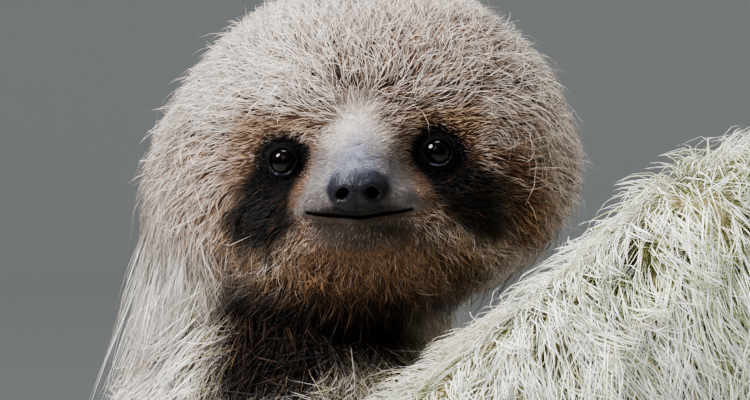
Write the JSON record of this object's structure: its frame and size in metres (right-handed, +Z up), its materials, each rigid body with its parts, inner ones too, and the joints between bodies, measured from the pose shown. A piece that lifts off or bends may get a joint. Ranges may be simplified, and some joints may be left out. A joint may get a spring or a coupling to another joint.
{
  "type": "three-toed sloth figure",
  "caption": "Life-size still figure of a three-toed sloth clinging to a cut log, head turned to the viewer, on a plain display stand.",
  "frame": {"origin": "centre of the stand base's underside", "axes": "+Z up, the log stands on the +X side and the face looks along -Y"},
  "size_m": [0.42, 0.29, 0.7],
  "materials": {
    "coat_head": "coarse pale cream hair over dark brown underfur, dark stripe out from each eye",
    "coat_arm": "long off-white hair with a faint green tint between the strands",
    "coat_body": "long shaggy grey-brown hair with paler patches",
    "nose_skin": "bare dark grey skin, finely pebbled, slightly moist",
    "ear_skin": "dark brown skin hidden in the hair",
    "eye": "wet, nearly black",
    "claw": "smooth yellowish horn, paler to the tip",
    "bark": "rough furrowed bark with pale cut ends",
    "base_wood": "dark stained hardwood, satin",
    "rod_steel": "turned steel rod, satin"
  },
  "bodies": {
    "root": {"claw_foot_left_1": "claw", "claw_foot_left_2": "claw", "claw_foot_left_3": "claw", "claw_foot_right_1": "claw", "claw_foot_right_2": "claw", "claw_foot_right_3": "claw", "claw_hand_left_1": "claw", "claw_hand_left_2": "claw", "claw_hand_left_3": "claw", "claw_hand_right_1": "claw", "claw_hand_right_2": "claw", "claw_hand_right_3": "claw", "ear_left": "ear_skin", "ear_right": "ear_skin", "eye_left": "eye", "eye_right": "eye", "foot_left": "coat_body", "foot_right": "coat_body", "forearm_left": "coat_arm", "forearm_right": "coat_arm", "hand_left": "coat_arm", "hand_right": "coat_arm", "head": "coat_head", "neck": "coat_head", "nose": "nose_skin", "perch_log": "bark", "shin_left": "coat_body", "shin_right": "coat_body", "stand_base": "base_wood", "stand_rod_1": "rod_steel", "stand_rod_2": "rod_steel", "tail": "coat_body", "thigh_left": "coat_body", "thigh_right": "coat_body", "torso": "coat_body", "upper_arm_left": "coat_arm", "upper_arm_right": "coat_arm"}
  },
  "joints": []
}
